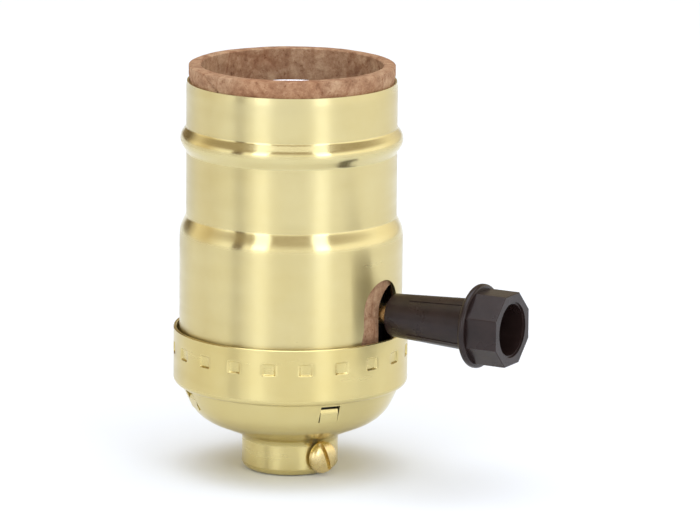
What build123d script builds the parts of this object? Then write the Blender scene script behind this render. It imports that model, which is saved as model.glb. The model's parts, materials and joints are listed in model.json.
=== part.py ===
from build123d import *
import os
from math import asin, cos, degrees, radians, sin

# Turn-knob lamp socket. Millimetres. The origin is the centre of the neck's lower face,
# +Z runs up towards the lamp, and the turn knob points along +X.

os.makedirs("parts", exist_ok=True)

# ---- driving dimensions ----
SHEET = 0.5                      # brass sheet of the cap and the outer shell
PIVOT_Z = 26.2                   # height of the turn knob's axis
RUNNING = 0.05                   # clearance of a hole round a shaft or a rivet
PAST = 1.0                       # how far a cutter runs past the face that it cuts

CAP_R = 18.25                    # outside of the cap's dimpled band
CAP_RIM_Z = 22.5
CREASE = (17.14, 13.6)           # where the dome meets the band, as radius and height
DOME_CORNER = (14.83, 8.64)
NECK_R = 7.5
NECK_TOP_Z = 5.53
NECK_CURL_R = 6.0
DIMPLE_COUNT = 20
DIMPLE_WIDTH = 1.85
DIMPLE_HEIGHT = 1.7
DIMPLE_DEPTH = 0.3
DIMPLE_Z = 19.4
DIMPLE_ANGLE = 1.0
LANCE_COUNT = 4
LANCE_ANGLE = -38.8
LANCE_WIDTH = 3.1
LANCE_LOW_Z = 10.5
LANCE_HIGH_Z = 13.2

BORE_R = 4.6                     # inside of the 1/8 IP thread
BUSHING_R = 6.98
BUSHING_FLANGE_R = 8.6
BUSHING_TOP_Z = 7.8

SET_SCREW_ANGLE = -22.0
SET_SCREW_Z = 2.9
SCREW_SHANK_R = 1.42
SCREW_HOLE_R = 1.5
SET_SCREW_HEAD_R = 2.5

SHELL_R = 17.35                  # outer shell: body, then neck
SHELL_NECK_R = 16.35
SHELL_LOW_Z = 14.6
SHELL_TOP_Z = 61.2
SHOULDER_Z = 38.0
SHOULDER_TOP_Z = 40.15
BEAD_Z = 52.2
BEAD_HALF = 1.9
BEAD_CORNER_R = 17.65
SHELL_SLOT_ANGLE = -5.0
SHELL_SLOT_HALF = 4.5
SHELL_SLOT_ARCH_Z = 27.3
SHELL_SLOT_FLARE_Z = 24.6
SHELL_SLOT_MOUTH_HALF = 6.8
CATCH_R = 17.65

SLEEVE_R = 16.72                 # fibre sleeve: body, then neck
SLEEVE_NECK_R = 15.8
SLEEVE_WALL = 0.9
SLEEVE_MOUTH_R = 14.1            # inside of its neck, which is rolled thicker
SLEEVE_LOW_Z = 14.8
SLEEVE_TOP_Z = 63.8
SLEEVE_SLOT_ANGLE = 7.0
SLEEVE_SLOT_HALF = 3.9
SLEEVE_SLOT_ARCH_Z = 26.6

BODY_R = 14.5                    # moulded interior
FLANGE_R = 15.5
FLANGE_LOW_Z = 12.0
FLANGE_TOP_Z = 14.4
BOSS_R = 12.6
BOSS_LOW_Z = 10.2
SEAT_Z = 36.0                    # top of the switch housing, under the screw shell
ISLAND_Z = 38.2
CAVITY_HALF_Z = 5.4
CAVITY = ((-7.0, -5.0, PIVOT_Z - CAVITY_HALF_Z), (9.0, 5.0, PIVOT_Z + CAVITY_HALF_Z))
WIRE_WELL_R = 7.0
WIRE_WELL_Z = 15.0
POCKET_HALF = 5.5
POCKET_WALL_Y = 8.7
POCKET_HIGH_Z = 24.6
TERMINAL_Z = 20.0

RIVET_R = 1.3
RIVET_X = 6.93
RIVET_HEAD_R = 1.95
HEAD_POCKET = 0.2                # depth of a rivet head's pocket above the flange's lower face

LAMP_PITCH = 25.4 / 7            # E26 lamp thread
THREAD_MID_R = 13.2
THREAD_DEPTH = 0.45
THREAD_LOW_Z = 36.9
THREAD_HALF_TURNS = 11
THREAD_SHEET = 0.35
SCREW_SHELL_TOP_Z = 58.8

CONTACT_X = 5.0                  # rivet that holds the centre contact
CONTACT_RIVET_R = 1.0

SPINDLE_R = 1.6
BEARING_R = SPINDLE_R + RUNNING
DRUM_R = 4.2
DRUM_X = (-3.2, 6.5)
CAM_X = (-6.2, -3.4)
CAM_HALF = 3.0
CAM_CORNER_R = 4.0

STEM_X = 18.2
STEM_R = 3.35
STEM_END_R = 4.05
KNOB_FLANGE_X = (32.6, 33.7)
KNOB_FLANGE_R = 6.5
KNOB_END_X = 38.8
KNOB_CORNER_R = 5.95
KNOB_RECESS_R = 4.0

PIVOT = Axis((0, 0, PIVOT_Z), (1, 0, 0))


# ---- small helpers ----
def block(low, high, mode=Mode.ADD):
    """A box between two corners, in the part being built."""
    middle = tuple((a + b) / 2 for a, b in zip(low, high))
    size = tuple(b - a for a, b in zip(low, high))
    with Locations(middle):
        Box(*size, mode=mode)


def post(x, y, low, high, radius, mode=Mode.ADD):
    """An upright cylinder between two heights."""
    with Locations((x, y, low)):
        Cylinder(radius, high - low, align=(Align.CENTER, Align.CENTER, Align.MIN), mode=mode)


def rivet_hole(side, low, high, radius=RIVET_R + RUNNING):
    """A hole for one of the two body rivets between two heights."""
    post(side * RIVET_X, -side * RIVET_X, low - PAST, high + PAST, radius, mode=Mode.SUBTRACT)


def axle(low, high, radius, mode=Mode.ADD):
    """A cylinder on the knob's axis between two distances along X."""
    with Locations(Location((low, 0, PIVOT_Z), (0, 90, 0))):
        Cylinder(radius, high - low, align=(Align.CENTER, Align.CENTER, Align.MIN), mode=mode)


def radial_plane(angle, height=0.0):
    """A plane whose normal points outwards at an angle, with its Y up."""
    outward = (cos(radians(angle)), sin(radians(angle)), 0)
    sideways = (-sin(radians(angle)), cos(radians(angle)), 0)
    return Plane(origin=(0, 0, height), x_dir=sideways, z_dir=outward)


# ---- cap: neck, dome and dimpled band from one sheet ----
CAP_OUTLINE = [
    (NECK_CURL_R, 0),
    (NECK_R, 0),
    (NECK_R, NECK_TOP_Z),
    DOME_CORNER,
    CREASE,
    (CAP_R, CREASE[1] + 0.1),
    (CAP_R, CAP_RIM_Z),
]
CAP_BENDS = [1.1, 1.4, 6.6, 0.3, 0.9]
TONGUE_R = 15.25
TONGUE_HEIGHT = 1.5
TONGUE_ROOT = 0.3                # how far a tongue reaches below its window

with BuildPart() as cap:
    with BuildSketch(Plane.XZ):
        with BuildLine():
            FilletPolyline(*CAP_OUTLINE, radius=CAP_BENDS)
            offset(amount=SHEET, side=Side.LEFT)
        make_face()
    revolve(axis=Axis.Z)
    with Locations((0, 0, (LANCE_LOW_Z + LANCE_HIGH_Z) / 2)):
        with PolarLocations(CREASE[0] - 1.5, LANCE_COUNT, LANCE_ANGLE):
            Box(5, LANCE_WIDTH, LANCE_HIGH_Z - LANCE_LOW_Z, mode=Mode.SUBTRACT)
    with Locations((0, 0, LANCE_LOW_Z - TONGUE_ROOT + TONGUE_HEIGHT / 2)):
        with PolarLocations(TONGUE_R, LANCE_COUNT, LANCE_ANGLE):
            Box(SHEET, LANCE_WIDTH - 0.4, TONGUE_HEIGHT)
    with Locations((0, 0, DIMPLE_Z)):
        with PolarLocations(CAP_R - SHEET - 0.05, DIMPLE_COUNT, DIMPLE_ANGLE):
            Box(2 * DIMPLE_DEPTH - 0.1, DIMPLE_WIDTH - 0.2, DIMPLE_HEIGHT - 0.2)
        with PolarLocations(CAP_R, DIMPLE_COUNT, DIMPLE_ANGLE):
            Box(2 * DIMPLE_DEPTH, DIMPLE_WIDTH, DIMPLE_HEIGHT, mode=Mode.SUBTRACT)
    with BuildSketch(radial_plane(SET_SCREW_ANGLE, SET_SCREW_Z)):
        Circle(SCREW_HOLE_R)
    extrude(amount=NECK_R + PAST, mode=Mode.SUBTRACT)
cap.part.label = "cap"
export_step(cap.part, "parts/cap.step")

# ---- threaded bushing: brass nut inside the neck, bored for a 1/8 IP nipple ----
with BuildPart() as threaded_bushing:
    post(0, 0, 0, 1.2, NECK_CURL_R - 0.1)
    post(0, 0, 1.1, BUSHING_TOP_Z - 1.2, BUSHING_R)
    post(0, 0, BUSHING_TOP_Z - 1.2, BUSHING_TOP_Z, BUSHING_FLANGE_R)
    post(0, 0, -PAST, BUSHING_TOP_Z + PAST, BORE_R, mode=Mode.SUBTRACT)
    with BuildSketch(radial_plane(SET_SCREW_ANGLE, SET_SCREW_Z)):
        Circle(SCREW_HOLE_R)
    extrude(amount=BUSHING_R + PAST, mode=Mode.SUBTRACT)
threaded_bushing.part.label = "threaded_bushing"
export_step(threaded_bushing.part, "parts/threaded_bushing.step")

# ---- cap insulator: fibre cup lining the dome ----
CUP_WALL = 0.8
CUP_OUTLINE = [(9.4, 7.0), (14.1, 9.0), (14.1, 11.7)]

with BuildPart() as cap_insulator:
    with BuildSketch(Plane.XZ):
        with BuildLine():
            FilletPolyline(*CUP_OUTLINE, radius=4.0)
            offset(amount=CUP_WALL, side=Side.LEFT)
        make_face()
    revolve(axis=Axis.Z)
cap_insulator.part.label = "cap_insulator"
export_step(cap_insulator.part, "parts/cap_insulator.step")

# ---- set screw: clamps the nipple through the neck ----
SET_SCREW_SEAT = NECK_R + 0.3
SET_SCREW_HEAD = 1.5
SET_SCREW_DOME = 0.9
SLOT_TURN = 20                   # how far each screw slot leans from upright, degrees
SLOT_WIDTH = 0.65
SLOT_DEPTH = 0.8

with BuildPart() as set_screw:
    with BuildSketch(radial_plane(SET_SCREW_ANGLE, SET_SCREW_Z).offset(BORE_R + 0.2)):
        Circle(SCREW_SHANK_R)
    extrude(amount=SET_SCREW_SEAT - BORE_R)
    with BuildSketch(radial_plane(SET_SCREW_ANGLE, SET_SCREW_Z).offset(SET_SCREW_SEAT)):
        Circle(SET_SCREW_HEAD_R)
    extrude(amount=SET_SCREW_HEAD)
    outward = Axis((0, 0, SET_SCREW_Z), radial_plane(SET_SCREW_ANGLE).z_dir)
    fillet(set_screw.edges().sort_by(outward)[-1], SET_SCREW_DOME)
    with BuildSketch(radial_plane(SET_SCREW_ANGLE, SET_SCREW_Z).offset(SET_SCREW_SEAT + SET_SCREW_HEAD)):
        Rectangle(SLOT_WIDTH, 2 * SET_SCREW_HEAD_R + PAST, rotation=SLOT_TURN)
    extrude(amount=-SLOT_DEPTH, mode=Mode.SUBTRACT)
set_screw.part.label = "set_screw"
export_step(set_screw.part, "parts/set_screw.step")

# ---- base block: lower half of the moulded interior ----
with BuildPart() as base_block:
    post(0, 0, BOSS_LOW_Z, FLANGE_LOW_Z + 0.1, BOSS_R)
    post(0, 0, FLANGE_LOW_Z, FLANGE_TOP_Z, FLANGE_R)
    post(0, 0, FLANGE_LOW_Z, PIVOT_Z, BODY_R)
    post(0, 0, BOSS_LOW_Z - PAST, WIRE_WELL_Z, WIRE_WELL_R, mode=Mode.SUBTRACT)
    block(CAVITY[0], (CAVITY[1][0], CAVITY[1][1], PIVOT_Z + PAST), mode=Mode.SUBTRACT)
    axle(-9, BODY_R + PAST, BEARING_R, mode=Mode.SUBTRACT)
    for side in (1, -1):
        inner, outer = sorted((side * POCKET_WALL_Y, side * (FLANGE_R + PAST)))
        block((-POCKET_HALF, inner, WIRE_WELL_Z), (POCKET_HALF, outer, POCKET_HIGH_Z), mode=Mode.SUBTRACT)
        inner, outer = sorted((side * (WIRE_WELL_R - PAST), side * 12.0))
        block((-2, inner, BOSS_LOW_Z - PAST), (2, outer, WIRE_WELL_Z + PAST), mode=Mode.SUBTRACT)
        with Locations(Location((0, side * POCKET_WALL_Y, TERMINAL_Z), (90, 0, 0))):
            Cylinder(SCREW_HOLE_R + 0.2, 3.4, mode=Mode.SUBTRACT)
        rivet_hole(side, BOSS_LOW_Z, PIVOT_Z)
        rivet_hole(side, BOSS_LOW_Z, FLANGE_LOW_Z + HEAD_POCKET - PAST, RIVET_HEAD_R + 3 * RUNNING)
    # channel for the line contact spring, and groove for the neutral strap
    block((-2.8, 4.0, TERMINAL_Z + 2.6), (2.8, POCKET_WALL_Y + 0.5, PIVOT_Z + PAST), mode=Mode.SUBTRACT)
    block((-2.8, POCKET_WALL_Y - 0.5, 17.2), (2.8, POCKET_WALL_Y + 0.5, PIVOT_Z + PAST), mode=Mode.SUBTRACT)
    block((1.1, -FLANGE_R, POCKET_HIGH_Z - 0.5), (5.3, -12.9, PIVOT_Z + PAST), mode=Mode.SUBTRACT)
base_block.part.label = "base_block"
export_step(base_block.part, "parts/base_block.step")

# ---- switch housing: upper half of the moulded interior ----
with BuildPart() as switch_housing:
    post(0, 0, PIVOT_Z, SEAT_Z, BODY_R)
    block((-7, -4, SEAT_Z - PAST), (8, 4, ISLAND_Z))
    block((CAVITY[0][0], CAVITY[0][1], PIVOT_Z - PAST), CAVITY[1], mode=Mode.SUBTRACT)
    axle(-9, BODY_R + PAST, BEARING_R, mode=Mode.SUBTRACT)
    for side in (1, -1):
        rivet_hole(side, PIVOT_Z, SEAT_Z)
    post(CONTACT_X, 0, CAVITY[1][2] - PAST, ISLAND_Z + PAST, CONTACT_RIVET_R + RUNNING, mode=Mode.SUBTRACT)
    block((1.1, -FLANGE_R, PIVOT_Z - PAST), (5.3, -12.9, SEAT_Z + PAST), mode=Mode.SUBTRACT)
    block((1.1, -FLANGE_R, SEAT_Z - 0.65), (9.2, -4.8, SEAT_Z + PAST), mode=Mode.SUBTRACT)
switch_housing.part.label = "switch_housing"
export_step(switch_housing.part, "parts/switch_housing.step")

# ---- screw shell: thin cup rolled to the lamp thread ----
THREAD_ROOT_R = THREAD_MID_R - THREAD_DEPTH
THREAD_CREST_R = THREAD_MID_R + THREAD_DEPTH
FOOT_BEND = 0.8


def thread_point(half_turn):
    """A root or a crest of the thread's profile, counted up from its lowest root."""
    radius = THREAD_CREST_R if half_turn % 2 else THREAD_ROOT_R
    return (radius, THREAD_LOW_Z + half_turn * LAMP_PITCH / 2)


with BuildPart() as screw_shell:
    with BuildSketch(Plane.XZ):
        with BuildLine():
            foot = FilletPolyline((0, SEAT_Z), (THREAD_ROOT_R, SEAT_Z), thread_point(0), radius=FOOT_BEND)
            ridges = [thread_point(half_turn) for half_turn in range(1, THREAD_HALF_TURNS + 1)]
            Polyline(foot @ 1, *ridges, (THREAD_CREST_R, SCREW_SHELL_TOP_Z))
            offset(amount=THREAD_SHEET, side=Side.LEFT)
        make_face()
    revolve(axis=Axis.Z)
    block((-7.2, -4.2, SEAT_Z - PAST), (8.2, 4.2, SEAT_Z + PAST), mode=Mode.SUBTRACT)
    for side in (1, -1):
        rivet_hole(side, SEAT_Z, SEAT_Z)
screw_shell.part.label = "screw_shell"
export_step(screw_shell.part, "parts/screw_shell.step")

# ---- body rivets: hold the base block, the housing and the screw shell together ----
with BuildPart() as body_rivets:
    for side in (1, -1):
        x, y = side * RIVET_X, -side * RIVET_X
        post(x, y, FLANGE_LOW_Z - 1.1, FLANGE_LOW_Z + 0.15, RIVET_HEAD_R)
        post(x, y, FLANGE_LOW_Z, SEAT_Z + THREAD_SHEET + 0.1, RIVET_R)
        post(x, y, SEAT_Z + THREAD_SHEET + 0.02, SEAT_Z + THREAD_SHEET + 0.9, RIVET_HEAD_R)
    fillet(body_rivets.edges().filter_by(GeomType.CIRCLE).group_by(Axis.Z)[-1], 0.5)
    fillet(body_rivets.edges().filter_by(GeomType.CIRCLE).group_by(Axis.Z)[0], 0.5)
body_rivets.part.label = "body_rivets"
export_step(body_rivets.part, "parts/body_rivets.step")

# ---- neutral terminal: strap from the screw shell down to its terminal plate ----
STRAP = 0.6
STRAP_X = (1.4, 5.0)
PLATE_HALF = 4.0
PLATE_LOW_Z = 16.0

with BuildPart() as neutral_terminal:
    with BuildSketch(Plane.YZ.offset(STRAP_X[0])):
        with BuildLine():
            FilletPolyline(
                (-5.0, SEAT_Z - STRAP),
                (-13.1, SEAT_Z - STRAP),
                (-13.1, 23.4),
                (-POCKET_WALL_Y - 0.1, 23.4),
                radius=0.4,
            )
            offset(amount=STRAP, side=Side.RIGHT)
        make_face()
    extrude(amount=STRAP_X[1] - STRAP_X[0])
    block((STRAP_X[0], -9.2, SEAT_Z - STRAP), (9.0, -5.0, SEAT_Z))
    block((-PLATE_HALF, -POCKET_WALL_Y - 0.7, PLATE_LOW_Z), (PLATE_HALF, -POCKET_WALL_Y - 0.1, 23.4))
    block((STRAP_X[0], -POCKET_WALL_Y - 0.7, 23.2), (STRAP_X[1], -POCKET_WALL_Y - 0.1, 24.0))
    rivet_hole(1, SEAT_Z, SEAT_Z)
    with Locations(Location((0, -POCKET_WALL_Y, TERMINAL_Z), (90, 0, 0))):
        Cylinder(SCREW_HOLE_R, 4, mode=Mode.SUBTRACT)
neutral_terminal.part.label = "neutral_terminal"
export_step(neutral_terminal.part, "parts/neutral_terminal.step")

# ---- line terminal: brass plate for the live wire ----
PLATE = 0.7

with BuildPart() as line_terminal:
    plate_face = POCKET_WALL_Y + RUNNING
    block((-PLATE_HALF, plate_face, PLATE_LOW_Z), (PLATE_HALF, plate_face + PLATE, POCKET_HIGH_Z - 0.3))
    with Locations(Location((0, POCKET_WALL_Y, TERMINAL_Z), (90, 0, 0))):
        Cylinder(SCREW_HOLE_R, 4, mode=Mode.SUBTRACT)
    chamfer(line_terminal.edges().filter_by(Axis.Y), 0.5)
line_terminal.part.label = "line_terminal"
export_step(line_terminal.part, "parts/line_terminal.step")

# ---- line contact spring: leaf from the line terminal to the drum's side ----
LEAF = 0.3
LEAF_HALF = 2.5

with BuildPart() as line_contact_spring:
    with BuildSketch(Plane.YZ.offset(-LEAF_HALF)):
        with BuildLine():
            FilletPolyline((8.65, 17.6), (8.65, 24.3), (4.65, 24.3), (4.65, 27.4), radius=0.6)
            offset(amount=LEAF, side=Side.LEFT)
        make_face()
    extrude(amount=2 * LEAF_HALF)
    with Locations(Location((0, POCKET_WALL_Y, TERMINAL_Z), (90, 0, 0))):
        Cylinder(SCREW_HOLE_R + 0.2, 2, mode=Mode.SUBTRACT)
line_contact_spring.part.label = "line_contact_spring"
export_step(line_contact_spring.part, "parts/line_contact_spring.step")

# ---- load contact spring: leaf on the cavity's ceiling, bearing on the drum's top ----
CEILING_Z = CAVITY[1][2]
DRUM_TOP_Z = PIVOT_Z + DRUM_R

with BuildPart() as load_contact_spring:
    with BuildSketch(Plane.XZ.offset(-2)):
        with BuildLine():
            FilletPolyline(
                (6.6, CEILING_Z - LEAF),
                (2.6, CEILING_Z - LEAF),
                (0.9, DRUM_TOP_Z + 0.1),
                (-0.9, DRUM_TOP_Z + 0.1),
                (-2.4, CEILING_Z - LEAF),
                radius=0.5,
            )
            offset(amount=LEAF - 0.02, side=Side.RIGHT)
        make_face()
    extrude(amount=4)
    post(CONTACT_X, 0, CEILING_Z - PAST, CEILING_Z + PAST, CONTACT_RIVET_R + RUNNING, mode=Mode.SUBTRACT)
load_contact_spring.part.label = "load_contact_spring"
export_step(load_contact_spring.part, "parts/load_contact_spring.step")

# ---- centre contact: sprung tongue that meets the lamp's tip ----
CONTACT_Z = 38.5
CONTACT_SHEET = 0.4

with BuildPart() as center_contact:
    with BuildSketch(Plane.XZ.offset(-2.2)):
        with BuildLine():
            FilletPolyline((6.4, CONTACT_Z), (3.5, CONTACT_Z), (-0.4, 41.0), (-3.4, 39.9), radius=[0.8, 1.6])
            offset(amount=CONTACT_SHEET, side=Side.RIGHT)
        make_face()
    extrude(amount=4.4)
    post(CONTACT_X, 0, CONTACT_Z - PAST, CONTACT_Z + PAST, CONTACT_RIVET_R + 0.3, mode=Mode.SUBTRACT)
center_contact.part.label = "center_contact"
export_step(center_contact.part, "parts/center_contact.step")

# ---- centre contact rivet: joins the load spring to the centre contact ----
with BuildPart() as center_contact_rivet:
    post(CONTACT_X, 0, CEILING_Z - LEAF - 0.5, CEILING_Z - LEAF, 1.7)
    post(CONTACT_X, 0, CEILING_Z - LEAF - 0.1, CONTACT_Z + 0.8, CONTACT_RIVET_R)
    post(CONTACT_X, 0, CONTACT_Z + 0.7, CONTACT_Z + 1.5, 1.9)
    fillet(center_contact_rivet.edges().filter_by(GeomType.CIRCLE).sort_by(Axis.Z)[-1], 0.5)
center_contact_rivet.part.label = "center_contact_rivet"
export_step(center_contact_rivet.part, "parts/center_contact_rivet.step")

# ---- index spring: U-shaped leaf that snaps over the square cam ----
SPRING_GAP = 0.2
SPRING_SIDE = CAM_HALF + SPRING_GAP

with BuildPart() as index_spring:
    with BuildSketch(Plane.YZ.offset(CAM_X[0] + 0.2)):
        with BuildLine():
            FilletPolyline(
                (-3.6, PIVOT_Z + SPRING_SIDE),
                (4.5, PIVOT_Z + SPRING_SIDE),
                (4.5, PIVOT_Z - SPRING_SIDE),
                (-3.6, PIVOT_Z - SPRING_SIDE),
                radius=0.8,
            )
            offset(amount=LEAF, side=Side.LEFT)
        make_face()
    extrude(amount=CAM_X[1] - CAM_X[0] - 0.4)
index_spring.part.label = "index_spring"
export_step(index_spring.part, "parts/index_spring.step")


# ---- terminal screws: one brass, one plated ----
TERMINAL_HEAD_R = 2.7
TERMINAL_HEAD = 1.6


def terminal_screw(side):
    """A slotted binding screw pointing out of a terminal pocket, on the +Y or -Y side."""
    outward = Plane(origin=(0, 0, TERMINAL_Z), x_dir=(side, 0, 0), z_dir=(0, side, 0))
    seat = POCKET_WALL_Y + 0.9
    with BuildPart() as screw:
        with BuildSketch(outward.offset(seat - 2.0)):
            Circle(SCREW_SHANK_R)
        extrude(amount=2.1)
        with BuildSketch(outward.offset(seat)):
            Circle(TERMINAL_HEAD_R)
        extrude(amount=TERMINAL_HEAD)
        rim = screw.edges().filter_by(GeomType.CIRCLE).sort_by(Axis.Y, reverse=side < 0)[-1]
        fillet(rim, 0.7)
        with BuildSketch(outward.offset(seat + TERMINAL_HEAD)):
            Rectangle(SLOT_WIDTH, 2 * TERMINAL_HEAD_R + PAST, rotation=SLOT_TURN)
        extrude(amount=-SLOT_DEPTH, mode=Mode.SUBTRACT)
    return screw


line_screw = terminal_screw(1)
line_screw.part.label = "line_screw"
export_step(line_screw.part, "parts/line_screw.step")

neutral_screw = terminal_screw(-1)
neutral_screw.part.label = "neutral_screw"
export_step(neutral_screw.part, "parts/neutral_screw.step")

# ---- spindle ----
SPINDLE_X = (-8.8, 25.0)

with BuildPart() as spindle:
    axle(*SPINDLE_X, SPINDLE_R)
spindle.part.label = "spindle"
export_step(spindle.part, "parts/spindle.step")

# ---- rotor contacts: two strips that bridge the line and load springs every half turn ----
STRIP = 0.5
STRIP_X = (-2.4, 5.6)
STRIP_ARC = 100.0
DRUM_END = Plane(origin=(0, 0, PIVOT_Z), x_dir=(0, 1, 0), z_dir=(1, 0, 0))

with BuildPart() as rotor_contacts:
    for middle in (45, 225):
        with BuildSketch(DRUM_END.offset(STRIP_X[0])):
            with BuildLine():
                rim = CenterArc((0, 0), DRUM_R, middle - STRIP_ARC / 2, STRIP_ARC)
                root = CenterArc((0, 0), DRUM_R - STRIP, middle - STRIP_ARC / 2, STRIP_ARC)
                Line(rim @ 0, root @ 0)
                Line(rim @ 1, root @ 1)
            make_face()
        extrude(amount=STRIP_X[1] - STRIP_X[0])
rotor_contacts.part.label = "rotor_contacts"
export_step(rotor_contacts.part, "parts/rotor_contacts.step")

# ---- rotor drum: insulating drum with its square index cam ----
with BuildPart() as rotor_drum:
    axle(*DRUM_X, DRUM_R)
    axle(CAM_X[1] - 0.1, DRUM_X[0] + 0.1, 2.6)
    with BuildSketch(DRUM_END.offset(CAM_X[0])):
        Rectangle(2 * CAM_HALF, 2 * CAM_HALF)
        Circle(CAM_CORNER_R, mode=Mode.INTERSECT)
    extrude(amount=CAM_X[1] - CAM_X[0])
    axle(CAM_X[0] - PAST, DRUM_X[1] + PAST, SPINDLE_R, mode=Mode.SUBTRACT)
    add(rotor_contacts.part, mode=Mode.SUBTRACT)
rotor_drum.part.label = "rotor_drum"
export_step(rotor_drum.part, "parts/rotor_drum.step")

# ---- knob: octagonal head, round flange and tapered stem in one moulding ----
STEM_TAPER = degrees(asin((STEM_END_R - STEM_R) / (KNOB_FLANGE_X[0] - STEM_X)))
RIB_ANGLES = (28, 132, 208, 312)
RIB_X = (22.0, 32.8)
RIB_WIDTH = 0.7
RIB_HEIGHT = 0.8
RIB_PROUD = 0.12
RECESS_DEPTH = 4.5
RECESS_LIP = 0.3
STEM_EDGE = 0.25
STEM_FLARE = 0.8                 # how much the stem widens just before the flange

with BuildPart() as knob:
    with BuildSketch(DRUM_END.offset(KNOB_FLANGE_X[0])):
        octagon = RegularPolygon(KNOB_CORNER_R, 8, rotation=22.5)
        fillet(octagon.vertices(), 0.2)
    extrude(amount=KNOB_END_X - KNOB_FLANGE_X[0])
    fillet(knob.faces().sort_by(Axis.X)[-1].edges(), 0.15)
    axle(*KNOB_FLANGE_X, KNOB_FLANGE_R)
    fillet(knob.edges().filter_by(GeomType.CIRCLE).filter_by(lambda e: e.radius > KNOB_FLANGE_R - 0.1), 0.45)
    with BuildSketch(Plane.XZ):
        with BuildLine():
            Polyline(
                (STEM_X, PIVOT_Z),
                (STEM_X, PIVOT_Z + STEM_R - STEM_EDGE),
                (STEM_X + STEM_EDGE, PIVOT_Z + STEM_R),
                (KNOB_FLANGE_X[0] - STEM_FLARE, PIVOT_Z + STEM_END_R),
                (KNOB_FLANGE_X[0], PIVOT_Z + STEM_END_R + STEM_FLARE),
                (KNOB_FLANGE_X[1], PIVOT_Z + STEM_END_R + STEM_FLARE),
                (KNOB_FLANGE_X[1], PIVOT_Z),
                close=True,
            )
        make_face()
    revolve(axis=PIVOT)
    for angle in RIB_ANGLES:
        middle = (RIB_X[0] + RIB_X[1]) / 2
        surface = STEM_R + (STEM_END_R - STEM_R) * (middle - STEM_X) / (KNOB_FLANGE_X[0] - STEM_X)
        turned = Location((0, 0, PIVOT_Z), (angle, 0, 0))
        rib_centre = (middle, 0, surface + RIB_PROUD - RIB_HEIGHT / 2)
        with Locations(turned * Location(rib_centre, (0, -STEM_TAPER, 0))):
            Box(RIB_X[1] - RIB_X[0], RIB_WIDTH, RIB_HEIGHT)
    axle(KNOB_END_X - RECESS_DEPTH, KNOB_END_X + PAST, KNOB_RECESS_R, mode=Mode.SUBTRACT)
    axle(KNOB_END_X - RECESS_LIP, KNOB_END_X + PAST, KNOB_RECESS_R + RECESS_LIP, mode=Mode.SUBTRACT)
    axle(STEM_X - PAST, SPINDLE_X[1] + 0.5, BEARING_R, mode=Mode.SUBTRACT)
knob.part.label = "knob"
export_step(knob.part, "parts/knob.step")

# ---- outer shell: body, shoulder, neck and shade bead, slotted for the spindle ----
SHELL_OUTLINE = [
    (SHELL_R, SHELL_LOW_Z),
    (SHELL_R, SHOULDER_Z),
    (SHELL_NECK_R, SHOULDER_TOP_Z),
    (SHELL_NECK_R, BEAD_Z - BEAD_HALF),
    (BEAD_CORNER_R, BEAD_Z),
    (SHELL_NECK_R, BEAD_Z + BEAD_HALF),
    (SHELL_NECK_R, SHELL_TOP_Z),
]
SHELL_BENDS = [4.0, 1.2, 0.8, 1.9, 0.8]
CATCH_Z = 16.5

with BuildPart() as outer_shell:
    with BuildSketch(Plane.XZ):
        with BuildLine():
            FilletPolyline(*SHELL_OUTLINE, radius=SHELL_BENDS)
            offset(amount=SHEET, side=Side.LEFT)
        make_face()
    revolve(axis=Axis.Z)
    with Locations((0, 0, CATCH_Z)):
        with PolarLocations(CATCH_R - 0.3, DIMPLE_COUNT, DIMPLE_ANGLE + 180 / DIMPLE_COUNT):
            Box(0.6, 1.8, 1.8)
    with BuildSketch(radial_plane(SHELL_SLOT_ANGLE)):
        with BuildLine():
            arch = CenterArc((0, SHELL_SLOT_ARCH_Z), SHELL_SLOT_HALF, 0, 180)
            Polyline(
                arch @ 1,
                (-SHELL_SLOT_HALF, SHELL_SLOT_FLARE_Z),
                (-SHELL_SLOT_MOUTH_HALF, SHELL_LOW_Z - PAST),
                (SHELL_SLOT_MOUTH_HALF, SHELL_LOW_Z - PAST),
                (SHELL_SLOT_HALF, SHELL_SLOT_FLARE_Z),
                arch @ 0,
            )
        make_face()
    extrude(amount=SHELL_R + PAST, mode=Mode.SUBTRACT)
outer_shell.part.label = "outer_shell"
export_step(outer_shell.part, "parts/outer_shell.step")

# ---- insulating sleeve: fibre tube between the interior and the shell ----
SLEEVE_OUTLINE = [
    (SLEEVE_R, SLEEVE_LOW_Z),
    (SLEEVE_R, SHOULDER_Z - 1.2),
    (SLEEVE_NECK_R, SHOULDER_TOP_Z - 0.35),
    (SLEEVE_NECK_R, SLEEVE_TOP_Z),
]
SLEEVE_BORE = [
    (SLEEVE_R - SLEEVE_WALL, SLEEVE_LOW_Z),
    (SLEEVE_R - SLEEVE_WALL, SHOULDER_Z - 1.2),
    (SLEEVE_MOUTH_R, SHOULDER_TOP_Z + 1.0),
    (SLEEVE_MOUTH_R, SLEEVE_TOP_Z),
]

with BuildPart() as insulating_sleeve:
    with BuildSketch(Plane.XZ):
        with BuildLine():
            outside = FilletPolyline(*SLEEVE_OUTLINE, radius=2.0)
            inside = FilletPolyline(*SLEEVE_BORE, radius=2.0)
            Line(outside @ 0, inside @ 0)
            Line(outside @ 1, inside @ 1)
        make_face()
    revolve(axis=Axis.Z)
    with BuildSketch(radial_plane(SLEEVE_SLOT_ANGLE)):
        with BuildLine():
            arch = CenterArc((0, SLEEVE_SLOT_ARCH_Z), SLEEVE_SLOT_HALF, 0, 180)
            Polyline(
                arch @ 1,
                (-SLEEVE_SLOT_HALF, SLEEVE_LOW_Z - PAST),
                (SLEEVE_SLOT_HALF, SLEEVE_LOW_Z - PAST),
                arch @ 0,
            )
        make_face()
    extrude(amount=SLEEVE_R + PAST, mode=Mode.SUBTRACT)
insulating_sleeve.part.label = "insulating_sleeve"
export_step(insulating_sleeve.part, "parts/insulating_sleeve.step")
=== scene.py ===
import json
import math

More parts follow.
